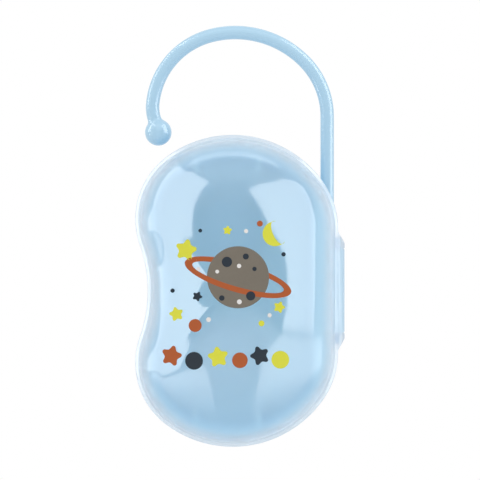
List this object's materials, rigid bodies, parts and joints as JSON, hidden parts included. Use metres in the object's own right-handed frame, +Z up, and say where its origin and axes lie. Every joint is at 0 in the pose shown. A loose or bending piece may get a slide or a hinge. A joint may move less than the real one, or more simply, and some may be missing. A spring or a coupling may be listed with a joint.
{
  "type": "pacifier sterilizer case",
  "caption": "Bean-shaped hinged carry case that steams soothers clean, with a clear domed lid, a slotted inner tray and a swivelling carry hook.",
  "frame": {"origin": "inner crown of the carry hook, where the case hangs from a bar", "axes": "+Z up, +X to the right where the hinge is, -Y out of the clear lid's face; the back shell faces +Y"},
  "size_m": [0.0796, 0.0488, 0.1607],
  "materials": {
    "blue_shell": "light blue polypropylene, moulded with a soft gloss",
    "clear_lid": "clear glossy polypropylene with a slight haze and a printed motif on its face",
    "hook_plastic": "light blue moulded rod with a satin gloss",
    "pin_plastic": "light blue rod of hard plastic"
  },
  "bodies": {
    "shell": {"back_shell": "blue_shell", "steam_tray": "blue_shell"},
    "lid": {"front_lid": "clear_lid", "hinge_pin": "pin_plastic"},
    "hook": {"carry_hook": "hook_plastic"}
  },
  "joints": [
    {"name": "lid_hinge", "type": "hinge", "parent": "shell", "child": "lid", "pos_m": [0.0384, -0.0056, -0.0963], "axis": [0, 0, 1], "range_deg": [0, 120]},
    {"name": "hook_swivel", "type": "hinge", "parent": "shell", "child": "hook", "pos_m": [0.0347, 0, -0.0963], "axis": [0, 0, 1], "continuous": true}
  ]
}
